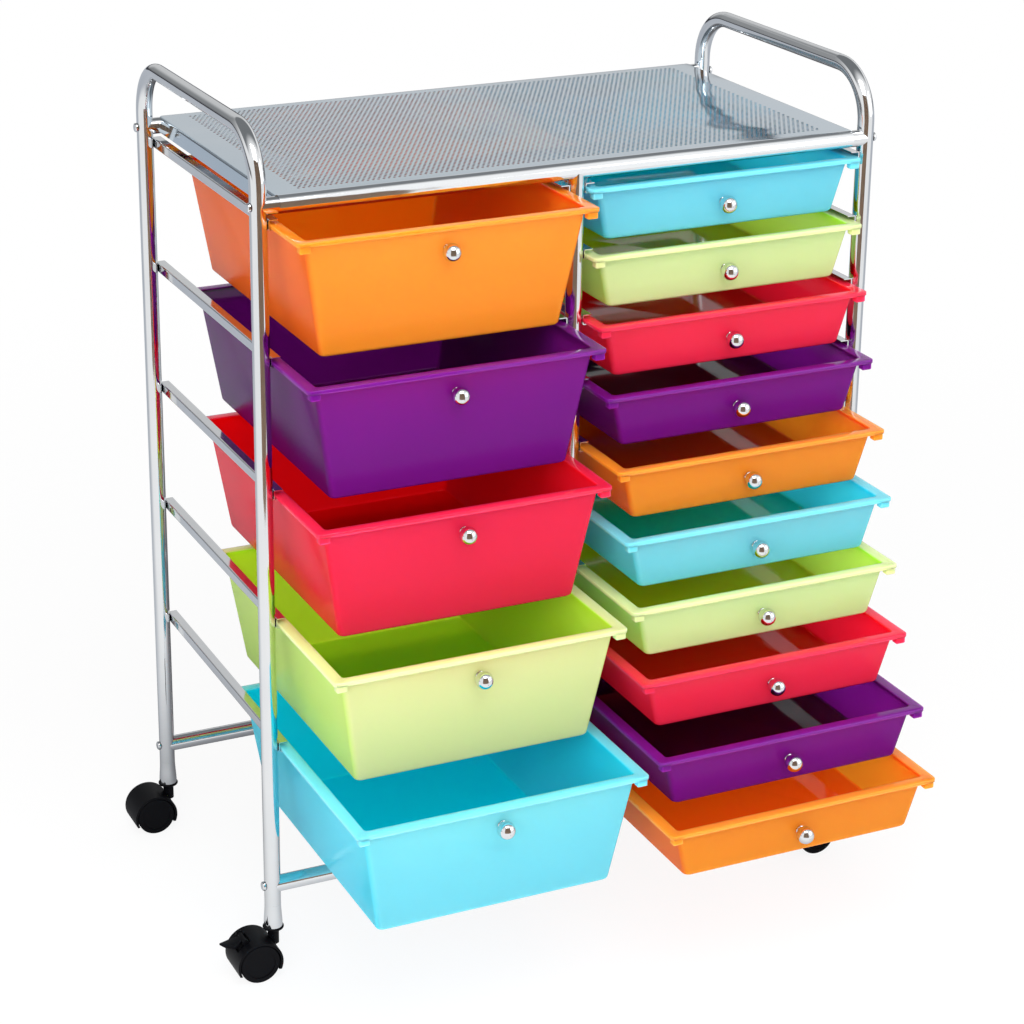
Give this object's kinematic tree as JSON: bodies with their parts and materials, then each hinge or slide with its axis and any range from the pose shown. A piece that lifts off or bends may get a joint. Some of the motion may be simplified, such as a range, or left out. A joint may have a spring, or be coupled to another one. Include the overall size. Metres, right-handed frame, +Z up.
{
  "type": "rolling drawer cart",
  "caption": "Rolling drawer cart: chrome tube frame on casters, top tray between two handles, large drawers on the left and small drawers on the right.",
  "frame": {"origin": "on the floor under the middle of the cart's box as it stands, drawers drawn out as in the picture", "axes": "+Z up, -Y towards the front (the side the drawers open to), +X towards the small drawers"},
  "size_m": [0.6876, 0.5504, 0.842],
  "materials": {
    "chrome": "polished",
    "tray_metal": "silver sheet, half mirror",
    "steel": "plain",
    "black_plastic": "satin",
    "drawer_orange": "gloss",
    "drawer_purple": "gloss",
    "drawer_red": "gloss",
    "drawer_green": "gloss",
    "drawer_cyan": "gloss"
  },
  "bodies": {
    "frame": {"tray": "tray_metal", "front_left_post": "chrome", "front_right_post": "chrome", "back_left_post": "chrome", "back_right_post": "chrome", "left_handle": "chrome", "right_handle": "chrome", "front_top_tube": "chrome", "front_bottom_bar": "chrome", "front_centre_post": "chrome", "back_top_tube": "chrome", "back_bottom_bar": "chrome", "back_centre_post": "chrome", "frame_screws": "chrome", "left_outer_rails": "chrome", "centre_left_rails": "chrome", "centre_right_rails": "chrome", "right_outer_rails": "chrome", "caster_sockets": "black_plastic", "caster_stems": "steel"},
    "large_drawer_1": {"large_drawer_1_tub": "drawer_orange", "large_drawer_1_knob": "chrome"},
    "large_drawer_2": {"large_drawer_2_tub": "drawer_purple", "large_drawer_2_knob": "chrome"},
    "large_drawer_3": {"large_drawer_3_tub": "drawer_red", "large_drawer_3_knob": "chrome"},
    "large_drawer_4": {"large_drawer_4_tub": "drawer_green", "large_drawer_4_knob": "chrome"},
    "large_drawer_5": {"large_drawer_5_tub": "drawer_cyan", "large_drawer_5_knob": "chrome"},
    "small_drawer_1": {"small_drawer_1_tub": "drawer_cyan", "small_drawer_1_knob": "chrome"},
    "small_drawer_2": {"small_drawer_2_tub": "drawer_green", "small_drawer_2_knob": "chrome"},
    "small_drawer_3": {"small_drawer_3_tub": "drawer_red", "small_drawer_3_knob": "chrome"},
    "small_drawer_4": {"small_drawer_4_tub": "drawer_purple", "small_drawer_4_knob": "chrome"},
    "small_drawer_5": {"small_drawer_5_tub": "drawer_orange", "small_drawer_5_knob": "chrome"},
    "small_drawer_6": {"small_drawer_6_tub": "drawer_cyan", "small_drawer_6_knob": "chrome"},
    "small_drawer_7": {"small_drawer_7_tub": "drawer_green", "small_drawer_7_knob": "chrome"},
    "small_drawer_8": {"small_drawer_8_tub": "drawer_red", "small_drawer_8_knob": "chrome"},
    "small_drawer_9": {"small_drawer_9_tub": "drawer_purple", "small_drawer_9_knob": "chrome"},
    "small_drawer_10": {"small_drawer_10_tub": "drawer_orange", "small_drawer_10_knob": "chrome"},
    "front_left_caster": {"front_left_caster_hood": "black_plastic"},
    "front_left_caster_wheels": {"front_left_caster_wheels": "black_plastic"},
    "front_left_brake_lever": {"front_left_brake_lever": "black_plastic"},
    "front_right_caster": {"front_right_caster_hood": "black_plastic"},
    "front_right_caster_wheels": {"front_right_caster_wheels": "black_plastic"},
    "front_right_brake_lever": {"front_right_brake_lever": "black_plastic"},
    "back_left_caster": {"back_left_caster_hood": "black_plastic"},
    "back_left_caster_wheels": {"back_left_caster_wheels": "black_plastic"},
    "back_right_caster": {"back_right_caster_hood": "black_plastic"},
    "back_right_caster_wheels": {"back_right_caster_wheels": "black_plastic"}
  },
  "joints": [
    {"name": "large_drawer_1_slide", "type": "slide", "parent": "frame", "child": "large_drawer_1", "axis": [0, -1, 0], "range_m": [-0.057, 0.193]},
    {"name": "large_drawer_2_slide", "type": "slide", "parent": "frame", "child": "large_drawer_2", "axis": [0, -1, 0], "range_m": [-0.077, 0.173]},
    {"name": "large_drawer_3_slide", "type": "slide", "parent": "frame", "child": "large_drawer_3", "axis": [0, -1, 0], "range_m": [-0.095, 0.155]},
    {"name": "large_drawer_4_slide", "type": "slide", "parent": "frame", "child": "large_drawer_4", "axis": [0, -1, 0], "range_m": [-0.132, 0.118]},
    {"name": "large_drawer_5_slide", "type": "slide", "parent": "frame", "child": "large_drawer_5", "axis": [0, -1, 0], "range_m": [-0.182, 0.068]},
    {"name": "small_drawer_1_slide", "type": "slide", "parent": "frame", "child": "small_drawer_1", "axis": [0, -1, 0], "range_m": [0, 0.25]},
    {"name": "small_drawer_2_slide", "type": "slide", "parent": "frame", "child": "small_drawer_2", "axis": [0, -1, 0], "range_m": [-0.008, 0.242]},
    {"name": "small_drawer_3_slide", "type": "slide", "parent": "frame", "child": "small_drawer_3", "axis": [0, -1, 0], "range_m": [-0.023, 0.227]},
    {"name": "small_drawer_4_slide", "type": "slide", "parent": "frame", "child": "small_drawer_4", "axis": [0, -1, 0], "range_m": [-0.041, 0.209]},
    {"name": "small_drawer_5_slide", "type": "slide", "parent": "frame", "child": "small_drawer_5", "axis": [0, -1, 0], "range_m": [-0.068, 0.182]},
    {"name": "small_drawer_6_slide", "type": "slide", "parent": "frame", "child": "small_drawer_6", "axis": [0, -1, 0], "range_m": [-0.087, 0.163]},
    {"name": "small_drawer_7_slide", "type": "slide", "parent": "frame", "child": "small_drawer_7", "axis": [0, -1, 0], "range_m": [-0.104, 0.146]},
    {"name": "small_drawer_8_slide", "type": "slide", "parent": "frame", "child": "small_drawer_8", "axis": [0, -1, 0], "range_m": [-0.128, 0.122]},
    {"name": "small_drawer_9_slide", "type": "slide", "parent": "frame", "child": "small_drawer_9", "axis": [0, -1, 0], "range_m": [-0.165, 0.085]},
    {"name": "small_drawer_10_slide", "type": "slide", "parent": "frame", "child": "small_drawer_10", "axis": [0, -1, 0], "range_m": [-0.192, 0.058]},
    {"name": "front_left_caster_swivel", "type": "hinge", "parent": "frame", "child": "front_left_caster", "pos_m": [-0.29209, -0.06384, 0.0465], "axis": [0, 0, 1], "continuous": true},
    {"name": "front_left_wheel_spin", "type": "hinge", "parent": "front_left_caster", "child": "front_left_caster_wheels", "pos_m": [-0.3121, -0.06384, 0.02], "axis": [0, 1, 0], "continuous": true},
    {"name": "front_left_brake_press", "type": "hinge", "parent": "front_left_caster", "child": "front_left_brake_lever", "pos_m": [-0.32407, -0.06384, 0.04251], "axis": [0, -1, 0], "range_deg": [0, 12]},
    {"name": "front_right_caster_swivel", "type": "hinge", "parent": "frame", "child": "front_right_caster", "pos_m": [0.33291, -0.06384, 0.0465], "axis": [0, 0, 1], "continuous": true},
    {"name": "front_right_wheel_spin", "type": "hinge", "parent": "front_right_caster", "child": "front_right_caster_wheels", "pos_m": [0.3129, -0.06384, 0.02], "axis": [0, 1, 0], "continuous": true},
    {"name": "front_right_brake_press", "type": "hinge", "parent": "front_right_caster", "child": "front_right_brake_lever", "pos_m": [0.30093, -0.06384, 0.04251], "axis": [0, -1, 0], "range_deg": [0, 12]},
    {"name": "back_left_caster_swivel", "type": "hinge", "parent": "frame", "child": "back_left_caster", "pos_m": [-0.29209, 0.25616, 0.0465], "axis": [0, 0, 1], "continuous": true},
    {"name": "back_left_wheel_spin", "type": "hinge", "parent": "back_left_caster", "child": "back_left_caster_wheels", "pos_m": [-0.3121, 0.25616, 0.02], "axis": [0, 1, 0], "continuous": true},
    {"name": "back_right_caster_swivel", "type": "hinge", "parent": "frame", "child": "back_right_caster", "pos_m": [0.33291, 0.25616, 0.0465], "axis": [0, 0, 1], "continuous": true},
    {"name": "back_right_wheel_spin", "type": "hinge", "parent": "back_right_caster", "child": "back_right_caster_wheels", "pos_m": [0.3129, 0.25616, 0.02], "axis": [0, 1, 0], "continuous": true}
  ]
}
